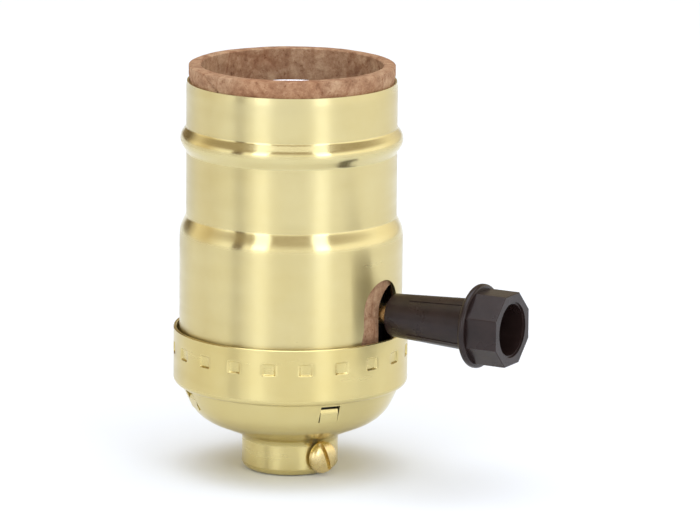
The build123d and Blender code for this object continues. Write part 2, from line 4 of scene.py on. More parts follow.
import bmesh
import bpy
import numpy as np
from mathutils import Matrix, Vector


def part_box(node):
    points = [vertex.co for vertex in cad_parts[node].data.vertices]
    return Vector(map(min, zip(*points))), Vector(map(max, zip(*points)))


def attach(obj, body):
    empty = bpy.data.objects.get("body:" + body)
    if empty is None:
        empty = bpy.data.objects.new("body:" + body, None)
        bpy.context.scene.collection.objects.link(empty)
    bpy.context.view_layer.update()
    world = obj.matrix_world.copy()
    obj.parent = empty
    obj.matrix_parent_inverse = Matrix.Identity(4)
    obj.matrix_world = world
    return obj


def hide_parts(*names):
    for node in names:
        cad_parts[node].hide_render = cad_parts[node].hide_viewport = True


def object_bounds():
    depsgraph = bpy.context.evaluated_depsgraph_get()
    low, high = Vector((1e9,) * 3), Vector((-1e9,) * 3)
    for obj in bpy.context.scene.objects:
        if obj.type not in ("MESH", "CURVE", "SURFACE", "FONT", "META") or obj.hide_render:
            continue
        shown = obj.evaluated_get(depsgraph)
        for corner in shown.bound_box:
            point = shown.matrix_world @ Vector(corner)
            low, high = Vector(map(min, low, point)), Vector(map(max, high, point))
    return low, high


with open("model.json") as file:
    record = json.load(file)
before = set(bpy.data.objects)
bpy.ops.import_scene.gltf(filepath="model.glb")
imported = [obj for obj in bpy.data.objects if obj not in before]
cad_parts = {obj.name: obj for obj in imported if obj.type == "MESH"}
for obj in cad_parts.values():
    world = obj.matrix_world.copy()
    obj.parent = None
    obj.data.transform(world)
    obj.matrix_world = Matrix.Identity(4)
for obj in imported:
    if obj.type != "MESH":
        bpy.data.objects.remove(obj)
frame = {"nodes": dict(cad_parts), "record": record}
cad_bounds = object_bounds()
scene = bpy.context.scene

# Lengths below are millimetres in the row frame; meshes are scaled to metres as they are made.
MM = 0.001


def cad_mm(node):
    """Lowest and highest corner of a CAD node, in millimetres."""
    low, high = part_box(node)
    return low / MM, high / MM


# ---------------------------------------------------------------- sizes taken from the frame
CAP_HIGH = cad_mm("cap")[1]
SHELL_LOW, SHELL_HIGH = cad_mm("outer_shell")
SLEEVE_LOW, SLEEVE_HIGH = cad_mm("insulating_sleeve")
SCREW_LOW, SCREW_HIGH = cad_mm("screw_shell")
BUSHING_LOW, BUSHING_HIGH = cad_mm("threaded_bushing")

SHEET = 0.5
CAP_R = CAP_HIGH.x
SHELL_R = CAP_R - SHEET - 0.4
NECK_STEP = 1.0
SHELL_NECK_R = SHELL_R - NECK_STEP
SLEEVE_R = SLEEVE_HIGH.x
SLEEVE_NECK_R = SHELL_NECK_R - SHEET - 0.05
SLEEVE_WALL = 0.9
SLEEVE_MOUTH_R = 14.1
SCREW_HOLE_R = 1.5
SMOOTH_ANGLE = 35             # degrees; sharper corners than this keep a hard edge


# ---------------------------------------------------------------- outlines
def arc_path(corners, radii, turn_step=7.5):
    """A polyline in the radius-height plane with each inner corner rounded to its radius."""
    points = [Vector(corners[0])]
    for before, corner, after, radius in zip(corners, corners[1:], corners[2:], radii):
        corner = Vector(corner)
        into = (corner - Vector(before)).normalized()
        out = (Vector(after) - corner).normalized()
        turn = math.atan2(into.x * out.y - into.y * out.x, into.dot(out))
        start = corner - into * radius * math.tan(abs(turn) / 2)
        side = math.copysign(1, turn)
        centre = start + Vector((-into.y, into.x)) * side * radius
        count = max(3, int(abs(math.degrees(turn)) / turn_step))
        for step in range(count + 1):
            swing = Matrix.Rotation(turn * step / count, 2)
            points.append(centre + swing @ (start - centre))
    points.append(Vector(corners[-1]))
    return points


def fill_in(points, longest):
    """The same path with every long run divided, so that no step is longer than asked."""
    filled = [points[0]]
    for a, b in zip(points, points[1:]):
        count = max(1, math.ceil((b - a).length / longest))
        filled.extend(a.lerp(b, step / count) for step in range(1, count + 1))
    return filled


def sheet_loop(path, thickness, edge=0.12):
    """A closed loop round a sheet that lies to the left of a path, with its two cut edges eased."""
    normals = []
    for index in range(len(path)):
        before = path[max(index - 1, 0)]
        after = path[min(index + 1, len(path) - 1)]
        along = (after - before).normalized()
        normals.append(Vector((-along.y, along.x)))
    inner = [p + n * thickness for p, n in zip(path, normals)]
    start = (path[1] - path[0]).normalized() * edge
    finish = (path[-1] - path[-2]).normalized() * edge
    loop = [path[0] + start] + path[1:-1] + [path[-1] - finish]
    sides = [1.0] * len(loop)
    loop += [path[-1] + normals[-1] * edge, inner[-1] - normals[-1] * edge]
    loop += [inner[-1] - finish] + inner[-2:0:-1] + [inner[0] + start]
    loop += [inner[0] - normals[0] * edge, path[0] + normals[0] * edge]
    sides += [-1.0] * (len(loop) - len(sides))
    return loop, sides


# ---------------------------------------------------------------- meshes
def new_object(name, verts, faces, smooth_angle=SMOOTH_ANGLE):
    """An object from points in millimetres, with outward normals and sharp edges kept sharp."""
    mesh = bpy.data.meshes.new(name)
    mesh.from_pydata((np.asarray(verts) * MM).tolist(), [], faces)
    piece = bpy.data.objects.new(name, mesh)
    scene.collection.objects.link(piece)
    tidy_mesh(piece, smooth_angle)
    return piece


def tidy_mesh(piece, smooth_angle=SMOOTH_ANGLE):
    """Merges doubles, points the normals outwards and shades smooth below an angle."""
    work = bmesh.new()
    work.from_mesh(piece.data)
    bmesh.ops.remove_doubles(work, verts=work.verts, dist=1e-7)
    bmesh.ops.recalc_face_normals(work, faces=work.faces)
    work.to_mesh(piece.data)
    work.free()
    piece.data.shade_smooth()
    piece.data.set_sharp_from_angle(angle=math.radians(smooth_angle))


def lathe(name, loop, angles, shift=None, sides=None, smooth_angle=SMOOTH_ANGLE, closed=True):
    """A solid of revolution about Z from a closed loop of radius and height.

    shift(theta, radius, height, side) gives how far each point moves outwards and up."""
    theta = np.asarray(angles)[:, None]
    radius = np.array([p[0] for p in loop])[None, :]
    height = np.array([p[1] for p in loop])[None, :]
    side = np.asarray(sides if sides is not None else np.ones(len(loop)))[None, :]
    grid = np.broadcast_arrays(theta, radius, height)
    radius, height = grid[1].copy(), grid[2].copy()
    if shift:
        out, up = shift(theta, radius, height, side)
        radius, height = radius + out, height + up
    verts = np.stack([radius * np.cos(theta), radius * np.sin(theta), height], -1)
    turns, rows = radius.shape
    last = rows if closed else rows - 1
    faces = []
    for i in range(turns):
        for j in range(last):
            k = (j + 1) % rows
            n = (i + 1) % turns
            faces.append((i * rows + j, n * rows + j, n * rows + k, i * rows + k))
    return new_object(name, verts.reshape(-1, 3), faces, smooth_angle)


def even_angles(count):
    return np.linspace(0, 2 * math.pi, count, endpoint=False)


def prism(name, outline, angle, low, high):
    """A closed prism whose outline, sideways and up, runs outwards along a radial direction."""
    outward = np.array([math.cos(angle), math.sin(angle), 0])
    sideways = np.array([-math.sin(angle), math.cos(angle), 0])
    up = np.array([0, 0, 1])
    ring = [sideways * x + up * y for x, y in outline]
    verts = [p + outward * low for p in ring] + [p + outward * high for p in ring]
    count = len(ring)
    faces = [tuple(range(count)), tuple(range(2 * count - 1, count - 1, -1))]
    faces += [(i, (i + 1) % count, count + (i + 1) % count, count + i) for i in range(count)]
    return new_object(name, verts, faces, 30)


def cut(piece, cutters):
    """Cuts each cutter out of a piece and removes the cutter."""
    for cutter in cutters:
        modifier = piece.modifiers.new("cut", "BOOLEAN")
        modifier.operation = "DIFFERENCE"
        modifier.solver = "EXACT"
        modifier.object = cutter
    bpy.context.view_layer.update()
    view = piece.evaluated_get(bpy.context.evaluated_depsgraph_get())
    mesh = bpy.data.meshes.new_from_object(view)
    piece.modifiers.clear()
    piece.data = mesh
    for cutter in cutters:
        bpy.data.objects.remove(cutter)
    piece.data.set_sharp_from_angle(angle=math.radians(SMOOTH_ANGLE))


def join(pieces, name):
    """One object from several."""
    work = bmesh.new()
    for piece in pieces:
        work.from_mesh(piece.data)
    mesh = bpy.data.meshes.new(name)
    work.to_mesh(mesh)
    work.free()
    for piece in pieces:
        bpy.data.objects.remove(piece)
    whole = bpy.data.objects.new(name, mesh)
    scene.collection.objects.link(whole)
    mesh.shade_smooth()
    mesh.set_sharp_from_angle(angle=math.radians(SMOOTH_ANGLE))
    return whole


def wobble(theta, height, waves, seed):
    """A smooth random field between 0 and 1 over a cylinder, from a few seeded waves."""
    random = np.random.default_rng(seed)
    total = 0.0
    for _ in range(waves):
        around = random.integers(1, 7)
        along = random.uniform(0.03, 0.25)
        phase, drift = random.uniform(0, 2 * math.pi, 2)
        total = total + np.sin(around * theta + phase) * np.sin(along * height + drift)
    return 0.5 + 0.5 * total / waves


def smooth_box(distance, half, soft):
    """1 inside a band, 0 outside it, with soft sides."""
    t = np.clip((half + soft / 2 - np.abs(distance)) / soft, 0, 1)
    return t * t * (3 - 2 * t)


# ---------------------------------------------------------------- materials
def material(name):
    """A node material and its two standard nodes."""
    made = bpy.data.materials.new(name)
    made.use_nodes = True
    shader = made.node_tree.nodes["Principled BSDF"]
    return made, made.node_tree, shader


def node(tree, kind, **values):
    """A node with its properties and unlinked inputs set."""
    made = tree.nodes.new(kind)
    for key, value in values.items():
        if hasattr(made, key):
            setattr(made, key, value)
        else:
            made.inputs[key.replace("_", " ")].default_value = value
    return made


def coordinates(tree, scale):
    """Object coordinates scaled by a vector, in cycles a metre."""
    where = node(tree, "ShaderNodeTexCoord")
    stretch = node(tree, "ShaderNodeMapping")
    stretch.inputs["Scale"].default_value = scale
    tree.links.new(where.outputs["Object"], stretch.inputs["Vector"])
    return stretch.outputs["Vector"]


def noise(tree, scale, detail=3.0, roughness=0.5, stretch=(1, 1, 1)):
    """A noise texture with its features a given number to the metre."""
    made = node(tree, "ShaderNodeTexNoise", Scale=1.0, Detail=detail, Roughness=roughness)
    tree.links.new(coordinates(tree, tuple(scale * s for s in stretch)), made.inputs["Vector"])
    return made.outputs["Fac"]


def ramp(tree, source, stops):
    """A colour ramp over a value."""
    made = node(tree, "ShaderNodeValToRGB")
    elements = made.color_ramp.elements
    while len(elements) < len(stops):
        elements.new(0.5)
    for element, (position, colour) in zip(elements, stops):
        element.position = position
        element.color = (*colour, 1)
    tree.links.new(source, made.inputs["Fac"])
    return made.outputs["Color"]


def span(tree, source, low, high, out_low, out_high):
    """Maps a value from one range to another."""
    made = node(tree, "ShaderNodeMapRange")
    for key, value in zip(("From Min", "From Max", "To Min", "To Max"), (low, high, out_low, out_high)):
        made.inputs[key].default_value = value
    tree.links.new(source, made.inputs["Value"])
    return made.outputs["Result"]


def bump(tree, source, distance, strength=1.0, under=None):
    """A bump of a real height in metres, over another bump if there is one."""
    made = node(tree, "ShaderNodeBump", Strength=strength, Distance=distance)
    tree.links.new(source, made.inputs["Height"])
    if under is not None:
        tree.links.new(under, made.inputs["Normal"])
    return made.outputs["Normal"]


def drawn_brass(name, bright, deep, rough):
    """Lacquered drawn sheet: fine lines round the piece that smear reflections up and down,
    cloudy handling marks and a slightly uneven surface. Bends are burnished by the rolls."""
    made, tree, shader = material(name)
    cloud = noise(tree, 55, 4, 0.6)
    colour = ramp(tree, cloud, [(0.3, deep), (0.7, bright)])
    tree.links.new(colour, shader.inputs["Base Color"])
    shader.inputs["Metallic"].default_value = 0.9
    smear = noise(tree, 420, 4, 0.6, stretch=(0.12, 0.12, 1))
    wear = span(tree, smear, 0.3, 0.75, rough * 0.85, rough * 1.3)
    facing = node(tree, "ShaderNodeSeparateXYZ")
    tree.links.new(node(tree, "ShaderNodeTexCoord").outputs["Normal"], facing.inputs["Vector"])
    tilt = node(tree, "ShaderNodeMath", operation="ABSOLUTE")
    tree.links.new(facing.outputs["Z"], tilt.inputs[0])
    burnish = node(tree, "ShaderNodeMath", operation="MULTIPLY")
    tree.links.new(wear, burnish.inputs[0])
    tree.links.new(span(tree, tilt.outputs["Value"], 0.03, 0.2, 1.0, 0.6), burnish.inputs[1])
    tree.links.new(burnish.outputs["Value"], shader.inputs["Roughness"])
    lines = noise(tree, 3000, 2, 0.5, stretch=(0.012, 0.012, 1))
    under = bump(tree, noise(tree, 110, 2, 0.4), 0.0001, 0.2)
    tree.links.new(bump(tree, lines, 0.000003, 0.3, under), shader.inputs["Normal"])
    around = node(tree, "ShaderNodeTangent", direction_type="RADIAL", axis="Z")
    tree.links.new(around.outputs["Tangent"], shader.inputs["Tangent"])
    shader.inputs["Anisotropic"].default_value = 0.91
    shader.inputs["Anisotropic Rotation"].default_value = 0.25
    shader.inputs["Coat Weight"].default_value = 0.1
    shader.inputs["Coat Roughness"].default_value = 0.12
    return made


def fibre_board(name):
    """Brown vulcanised fibre paper: mottled pulp, stray fibres, darker flecks and painted shade along
    crease lines.
    """
    made, tree, shader = material(name)
    pulp = noise(tree, 600, 9, 0.74)
    browns = [(0.30, (0.22, 0.105, 0.055)), (0.5, (0.40, 0.235, 0.135)), (0.70, (0.58, 0.40, 0.25))]
    colour = ramp(tree, pulp, browns)
    patch = noise(tree, 110, 3, 0.55)
    red = node(tree, "ShaderNodeMix", data_type="RGBA", blend_type="MULTIPLY")
    tree.links.new(span(tree, patch, 0.46, 0.66, 0.0, 0.5), red.inputs["Factor"])
    tree.links.new(colour, red.inputs[6])
    red.inputs[7].default_value = (0.84, 0.62, 0.50, 1)
    fleck = noise(tree, 1700, 3, 0.6)
    dark = node(tree, "ShaderNodeMix", data_type="RGBA", blend_type="MULTIPLY")
    tree.links.new(span(tree, fleck, 0.60, 0.70, 0.0, 0.6), dark.inputs["Factor"])
    tree.links.new(red.outputs[2], dark.inputs[6])
    dark.inputs[7].default_value = (0.42, 0.25, 0.17, 1)
    # Painted shade: the paper is darkened along the edges of a cell pattern to stand for shade in
    # creases; the creases themselves have no bump.
    painted_crease_cells = node(tree, "ShaderNodeTexVoronoi", feature="DISTANCE_TO_EDGE", Scale=1.0)
    tree.links.new(coordinates(tree, (130, 130, 85)), painted_crease_cells.inputs["Vector"])
    painted_crease_shade = node(tree, "ShaderNodeMix", data_type="RGBA", blend_type="MULTIPLY")
    tree.links.new(span(tree, painted_crease_cells.outputs["Distance"], 0.0, 0.035, 0.45, 0.0), painted_crease_shade.inputs["Factor"])
    tree.links.new(dark.outputs[2], painted_crease_shade.inputs[6])
    painted_crease_shade.inputs[7].default_value = (0.55, 0.36, 0.27, 1)
    tree.links.new(painted_crease_shade.outputs[2], shader.inputs["Base Color"])
    shader.inputs["Roughness"].default_value = 0.85
    shader.inputs["Specular IOR Level"].default_value = 0.25
    fibres = noise(tree, 1100, 6, 0.72, stretch=(1, 1, 2.5))
    under = bump(tree, pulp, 0.0003, 0.6)
    tree.links.new(bump(tree, fibres, 0.0001, 0.7, under), shader.inputs["Normal"])
    return made


def moulded(name, colour, light, rough):
    """Dark phenolic moulding: faint mottling, flow marks and fine pitting."""
    made, tree, shader = material(name)
    mottle = noise(tree, 420, 5, 0.6)
    tint = ramp(tree, mottle, [(0.35, colour), (0.72, light)])
    tree.links.new(tint, shader.inputs["Base Color"])
    smear = noise(tree, 130, 4, 0.6)
    tree.links.new(span(tree, smear, 0.3, 0.7, rough * 0.8, rough * 1.3), shader.inputs["Roughness"])
    shader.inputs["Specular IOR Level"].default_value = 0.32
    pits = noise(tree, 2600, 3, 0.6)
    under = bump(tree, noise(tree, 240, 2, 0.5), 0.0001, 0.3)
    tree.links.new(bump(tree, pits, 0.00002, 0.4, under), shader.inputs["Normal"])
    return made


def plain_metal(name, colour, deep, rough):
    """Turned or plated small metal parts."""
    made, tree, shader = material(name)
    tint = ramp(tree, noise(tree, 300, 4, 0.6), [(0.3, deep), (0.7, colour)])
    tree.links.new(tint, shader.inputs["Base Color"])
    shader.inputs["Metallic"].default_value = 1.0
    wear = span(tree, noise(tree, 700, 3, 0.6), 0.3, 0.7, rough * 0.7, rough * 1.4)
    tree.links.new(wear, shader.inputs["Roughness"])
    tree.links.new(bump(tree, noise(tree, 1500, 2, 0.5), 0.00001, 0.4), shader.inputs["Normal"])
    return made


BRASS = drawn_brass("brass_sheet", (0.68, 0.595, 0.315), (0.64, 0.535, 0.245), 0.32)
CAP_BRASS = drawn_brass("cap_brass_sheet", (0.67, 0.57, 0.265), (0.63, 0.51, 0.205), 0.30)
TURNED_BRASS = plain_metal("turned_brass", (0.80, 0.66, 0.34), (0.66, 0.50, 0.22), 0.26)
CONTACT_BRASS = plain_metal("contact_brass", (0.82, 0.66, 0.36), (0.70, 0.52, 0.26), 0.3)
PLATED = plain_metal("plated_steel", (0.68, 0.67, 0.65), (0.52, 0.51, 0.49), 0.3)
ALUMINIUM = plain_metal("rolled_aluminium", (0.86, 0.86, 0.87), (0.74, 0.74, 0.75), 0.22)
FIBRE = fibre_board("fibre_paper")
PHENOLIC = moulded("knob_phenolic", (0.0155, 0.0082, 0.0072), (0.026, 0.0145, 0.0125), 0.27)
INNER_PHENOLIC = moulded("inner_phenolic", (0.016, 0.015, 0.014), (0.030, 0.027, 0.025), 0.5)

SLOTS = {
    "brass": BRASS,
    "turned_brass": TURNED_BRASS,
    "contact_brass": CONTACT_BRASS,
    "plated_steel": PLATED,
    "aluminium": ALUMINIUM,
    "fibre": FIBRE,
    "phenolic": PHENOLIC,
    "inner_phenolic": INNER_PHENOLIC,
}


def dress_cad_nodes():
    """Every CAD node gets the detailed material of its slot."""
    slot_of = {row["node"]: row["material_slot"] for row in frame["record"]["subparts"]}
    for name, part in frame["nodes"].items():
        part.data.materials.clear()
        part.data.materials.append(SLOTS[slot_of[name]])


def finish_piece(piece, body, slot_name, *replaced, finish=None):
    """Gives a made piece its material and its body, and hides the CAD nodes it stands for."""
    piece.data.materials.clear()
    piece.data.materials.append(finish or SLOTS[slot_name])
    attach(piece, body)
    if replaced:
        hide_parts(*replaced)


# ---------------------------------------------------------------- outer shell
SHOULDER_Z = 38.0
SHOULDER_TOP_Z = 40.15
BEAD_Z = 52.2
BEAD_HALF = 1.9
BEAD_CORNER_R = SHELL_NECK_R + 1.3
SHELL_SLOT_ANGLE = math.radians(-5.0)
SHELL_SLOT_HALF = 4.5
SHELL_SLOT_ARCH_Z = 27.3
SHELL_SLOT_FLARE_Z = 24.6
SHELL_SLOT_MOUTH_HALF = 6.8
DIMPLES = 20
DIMPLE_START = math.radians(1.0)
DIMPLE_HALF = 0.925
DIMPLE_HALF_HEIGHT = 0.85
DIMPLE_Z = 19.4
DIMPLE_DEPTH = 0.24
DIMPLE_SOFT = 0.26            # width of a dimple's sloping sides
DIMPLE_LEAN = 0.3             # how much deeper than its middle a dimple is at its lower edge
CATCH_Z = 16.5
CATCH_HALF = 0.9
CATCH_HEIGHT = 0.28
MOUTH_EASE = 0.16
MOUTH_EASE_DEPTH = 0.9
SLOT_CUT_FROM = 8             # radius from which the knob's slots are cut outwards


def slot_outline(half, arch_z, bottom_z, flare_z=None, mouth_half=None):
    """An upside-down U, sideways and up, with an optional flared mouth."""
    steps = 24
    outline = [
        (half * math.cos(math.pi * i / steps), arch_z + half * math.sin(math.pi * i / steps))
        for i in range(steps + 1)
    ]
    if flare_z is not None:
        outline += [(-half, flare_z), (-mouth_half, bottom_z), (mouth_half, bottom_z), (half, flare_z)]
    else:
        outline += [(-half, bottom_z), (half, bottom_z)]
    return outline


def make_outer_shell():
    """Thin drawn brass: body, shoulder, neck and rolled bead, a little uneven as drawn sheet is."""
    corners = [
        (SHELL_R, SHELL_LOW.z),
        (SHELL_R, SHOULDER_Z),
        (SHELL_NECK_R, SHOULDER_TOP_Z),
        (SHELL_NECK_R, BEAD_Z - BEAD_HALF),
        (BEAD_CORNER_R, BEAD_Z),
        (SHELL_NECK_R, BEAD_Z + BEAD_HALF),
        (SHELL_NECK_R, SHELL_HIGH.z),
    ]
    path = fill_in(arc_path(corners, [4.0, 1.2, 0.8, 1.9, 0.8]), 0.8)
    loop, sides = sheet_loop(path, SHEET)

    def uneven(theta, radius, height, side):
        flats = -0.045 * wobble(theta, height, 9, 4)
        pitch = 2 * math.pi / DIMPLES
        from_catch = (theta - DIMPLE_START) % pitch - pitch / 2
        catch = smooth_box(from_catch * SHELL_R, CATCH_HALF, 0.4)
        catch = catch * smooth_box(height - CATCH_Z, CATCH_HALF, 0.5)
        rise = (height - SHELL_HIGH.z + MOUTH_EASE_DEPTH) / MOUTH_EASE_DEPTH
        eased = np.clip(rise, 0, 1) ** 2 * (side > 0)
        return flats + CATCH_HEIGHT * catch - MOUTH_EASE * eased, 0 * height

    shell = lathe("outer_shell_brass", loop, even_angles(360), uneven, sides)
    outline = slot_outline(
        SHELL_SLOT_HALF, SHELL_SLOT_ARCH_Z, SHELL_LOW.z - 1, SHELL_SLOT_FLARE_Z, SHELL_SLOT_MOUTH_HALF
    )
    cut(shell, [prism("shell_slot", outline, SHELL_SLOT_ANGLE, SLOT_CUT_FROM, SHELL_R + 3)])
    finish_piece(shell, "shell", "brass", "outer_shell")


# ---------------------------------------------------------------- insulating sleeve
SLEEVE_SLOT_ANGLE = math.radians(7.0)
SLEEVE_SLOT_HALF = 3.9
SLEEVE_SLOT_ARCH_Z = 26.6
SEAM_ANGLE = math.radians(-119.8)
SEAM_FALL = 11.7              # fall of the seam for each radian round the sleeve
SEAM_HALF = 0.17
SEAM_DEPTH = 0.34
SLEEVE_SWELL = 0.2            # how far the paper stands out above the shell's edge
SLEEVE_FINE_Z = 58.3          # above this height the outside has closely spaced points


def ring_loop(outside, inside, edge):
    """A closed loop between an outer and an inner path that both run upwards, with eased corners."""
    loop = [outside[0] + Vector((0, edge))] + outside[1:-1] + [outside[-1] - Vector((0, edge))]
    sides = [1.0] * len(loop)
    top, bore = outside[-1], inside[-1]
    loop += fill_in([Vector((top.x - edge, top.y)), Vector((bore.x + edge, bore.y))], 0.25)
    loop += [inside[-1] - Vector((0, edge))] + inside[-2:0:-1] + [inside[0] + Vector((0, edge))]
    loop += [inside[0] + Vector((edge, 0)), outside[0] - Vector((edge, 0))]
    sides += [-1.0] * (len(loop) - len(sides))
    return loop, sides


def make_sleeve():
    """Rolled fibre paper with a thick neck, a diagonal butt seam, ragged cut edges and a slot."""
    corners = [
        (SLEEVE_R, SLEEVE_LOW.z),
        (SLEEVE_R, SHOULDER_Z - 1.2),
        (SLEEVE_NECK_R, SHOULDER_TOP_Z - 0.35),
        (SLEEVE_NECK_R, SLEEVE_HIGH.z),
    ]
    bore = [
        (SLEEVE_R - SLEEVE_WALL, SLEEVE_LOW.z),
        (SLEEVE_R - SLEEVE_WALL, SHOULDER_Z - 1.2),
        (SLEEVE_MOUTH_R, SHOULDER_TOP_Z + 1.0),
        (SLEEVE_MOUTH_R, SLEEVE_HIGH.z),
    ]
    top = [Vector((SLEEVE_NECK_R, SLEEVE_FINE_Z + 0.2)), Vector((SLEEVE_NECK_R, SLEEVE_HIGH.z))]
    below = [p for p in fill_in(arc_path(corners, [2.0, 2.0]), 1.2) if p.y < SLEEVE_FINE_Z]
    outside = below + fill_in(top, 0.3)
    loop, sides = ring_loop(outside, fill_in(arc_path(bore, [2.0, 2.0]), 1.0), 0.16)

    def papery(theta, radius, height, side):
        grain = -0.06 * wobble(theta * 3, height * 3, 10, 11)
        fall = (SLEEVE_HIGH.z - height) / SEAM_FALL
        off = (theta - SEAM_ANGLE - fall + math.pi) % (2 * math.pi) - math.pi
        groove = -SEAM_DEPTH * np.exp(-((off * radius / SEAM_HALF) ** 2)) * (side > 0)
        above_shell = np.clip((height - SHELL_HIGH.z - 0.15) / 0.8, 0, 1)
        swollen = SLEEVE_SWELL * above_shell * (side > 0)
        at_top = height > SLEEVE_HIGH.z - 0.3
        ragged = np.where(at_top, -0.14 * wobble(theta * 5, radius * 6, 8, 3), 0)
        return grain + groove + swollen, ragged

    sleeve = lathe("insulating_sleeve_paper", loop, even_angles(720), papery, sides, 40)
    outline = slot_outline(SLEEVE_SLOT_HALF, SLEEVE_SLOT_ARCH_Z, SLEEVE_LOW.z - 1)
    cut(sleeve, [prism("sleeve_slot", outline, SLEEVE_SLOT_ANGLE, SLOT_CUT_FROM, SLEEVE_R + 3)])
    finish_piece(sleeve, "shell", "fibre", "insulating_sleeve")


# ---------------------------------------------------------------- cap
CREASE = (17.14, 13.6)
DOME_CORNER = (14.83, 8.64)
NECK_R = 7.5
NECK_TOP_Z = 5.53
NECK_CURL_R = 6.0
LANCE_ANGLE = math.radians(-38.8)
LANCE_WIDTH = 3.1
LANCE_LOW_Z = 10.5
LANCE_HIGH_Z = 13.2
LANCE_INNER_R = 13.2
LANCES = 4
SET_SCREW_ANGLE = math.radians(-22.0)
SET_SCREW_Z = 2.9


def dimple_angles():
    """Angles round the band, close together at the sides of each dimple."""
    pitch = 2 * math.pi / DIMPLES
    half = DIMPLE_HALF / CAP_R
    steps = [-0.46, -0.36, -0.27]
    edge = [-1.16, -1.06, -0.95, -0.84]
    inside = [-0.35, 0.0, 0.35]
    one = [s * pitch for s in steps] + [e * half for e in edge] + [i * half for i in inside]
    one += [-e * half for e in reversed(edge)] + [-s * pitch for s in reversed(steps)]
    return np.array([DIMPLE_START + d * pitch + a for d in range(DIMPLES) for a in one])


def screw_hole(count):
    """Outline of the set screw's hole, sideways and up."""
    return [(SCREW_HOLE_R * math.cos(t), SET_SCREW_Z + SCREW_HOLE_R * math.sin(t))
            for t in even_angles(count)]


def make_cap():
    """Spun brass cap with pressed square dimples, lanced tongues and a set-screw hole."""
    corners = [
        (NECK_CURL_R, 0),
        (NECK_R, 0),
        (NECK_R, NECK_TOP_Z),
        DOME_CORNER,
        CREASE,
        (CAP_R, CREASE[1] + 0.1),
        (CAP_R, CAP_HIGH.z),
    ]
    path = fill_in(arc_path(corners, [1.1, 1.4, 6.6, 0.3, 0.9]), 0.5)
    band = [p for p in path if p.y > 17 and p.x > CAP_R - 0.01]
    edge = [-0.22, -0.12, -0.04, 0.04, 0.12, 0.22]
    rows = [15.6, 16.6, 17.4, 18.0] + [DIMPLE_Z - DIMPLE_HALF_HEIGHT + e for e in edge]
    rows += [DIMPLE_Z - 0.3, DIMPLE_Z + 0.3]
    rows += [DIMPLE_Z + DIMPLE_HALF_HEIGHT + e for e in edge] + [21.0, 21.6]
    path = [p for p in path if p not in band and not (p.x > CAP_R - 0.01 and p.y > 15.4)]
    path += [Vector((CAP_R, z)) for z in rows] + [Vector((CAP_R, CAP_HIGH.z))]
    loop, sides = sheet_loop(path, SHEET)

    def pressed(theta, radius, height, side):
        pitch = 2 * math.pi / DIMPLES
        across = ((theta - DIMPLE_START + pitch / 2) % pitch - pitch / 2) * CAP_R
        dimple = smooth_box(across, DIMPLE_HALF, DIMPLE_SOFT)
        dimple = dimple * smooth_box(height - DIMPLE_Z, DIMPLE_HALF_HEIGHT, DIMPLE_SOFT)
        lean = 1 + DIMPLE_LEAN * np.clip((DIMPLE_Z - height) / DIMPLE_HALF_HEIGHT, -1, 1)
        dimple = dimple * lean * (radius > CAP_R - 1)
        flats = -0.03 * wobble(theta, height, 8, 21)
        return flats - DIMPLE_DEPTH * dimple, 0 * height

    cap = lathe("cap_brass", loop, dimple_angles(), pressed, sides)
    cutters = []
    lance_angles = [LANCE_ANGLE + lance * 2 * math.pi / LANCES for lance in range(LANCES)]
    for angle in lance_angles:
        half, low, high = LANCE_WIDTH / 2, LANCE_LOW_Z, LANCE_HIGH_Z
        window = [(-half, low), (half, low), (half, high), (-half, high)]
        cutters.append(prism("lance_window", window, angle, LANCE_INNER_R, CAP_R + 1))
    cutters.append(prism("set_screw_hole", screw_hole(32), SET_SCREW_ANGLE, 4, 9))
    cut(cap, cutters)
    tongues = [make_tongue(angle) for angle in lance_angles]
    cap = join([cap] + tongues, "cap_brass_sheet")
    finish_piece(cap, "cap", "brass", "cap", finish=CAP_BRASS)


def make_tongue(angle):
    """One lanced tongue, bent inwards from the lower edge of its window."""
    half = LANCE_WIDTH / 2 - 0.12
    path = fill_in([Vector((15.72, LANCE_LOW_Z - 0.12)), Vector((16.05, LANCE_LOW_Z + 0.7)),
                    Vector((16.25, LANCE_LOW_Z + 1.5)), Vector((16.15, LANCE_LOW_Z + 2.2))], 0.25)
    loop, _ = sheet_loop(path, 0.45, 0.08)
    outward = np.array([math.cos(angle), math.sin(angle), 0])
    sideways = np.array([-math.sin(angle), math.cos(angle), 0])
    up = np.array([0, 0, 1])
    verts = [outward * p[0] + up * p[1] + sideways * x for x in (-half, half) for p in loop]
    count = len(loop)
    faces = [tuple(range(count)), tuple(range(2 * count - 1, count - 1, -1))]
    faces += [(i, (i + 1) % count, count + (i + 1) % count, count + i) for i in range(count)]
    return new_object("tongue", verts, faces)


# ---------------------------------------------------------------- threads
INCH = 25.4


def make_screw_shell():
    """Thin aluminium cup rolled into a true helix at the lamp thread's pitch."""
    pitch = INCH / 7
    middle, depth, wall = 13.2, 0.45, 0.35
    low, high = SCREW_LOW.z, SCREW_HIGH.z
    corners = [(0.02, low), (middle - depth, low), (middle - depth, low + 1.2)]
    path = arc_path(corners, [0.8])
    path += fill_in([Vector((middle - depth, low + 1.2)), Vector((middle - depth, high))], 0.26)[1:]
    loop, sides = sheet_loop(path, wall, 0.08)

    def rolled(theta, radius, height, side):
        up_the_wall = radius > middle - depth - wall - 0.02
        fade_in = np.clip((height - low - 0.9) / 1.6, 0, 1)
        fade_out = np.clip((high - 0.9 - height) / 1.6, 0, 1)
        wave = 0.5 - 0.5 * np.cos(2 * math.pi * (height - low) / pitch - theta)
        lift = fade_out * wave + (1 - fade_out)
        return np.where(up_the_wall, 2 * depth * fade_in * lift, 0), 0 * height

    shell = lathe("screw_shell_aluminium", loop, even_angles(160), rolled, sides, 50)
    island = [(-4.2, low - 1), (4.2, low - 1), (4.2, low + 0.7), (-4.2, low + 0.7)]
    cut(shell, [prism("island_hole", island, 0.0, -7.2, 8.2)])
    finish_piece(shell, "interior", "aluminium", "screw_shell")


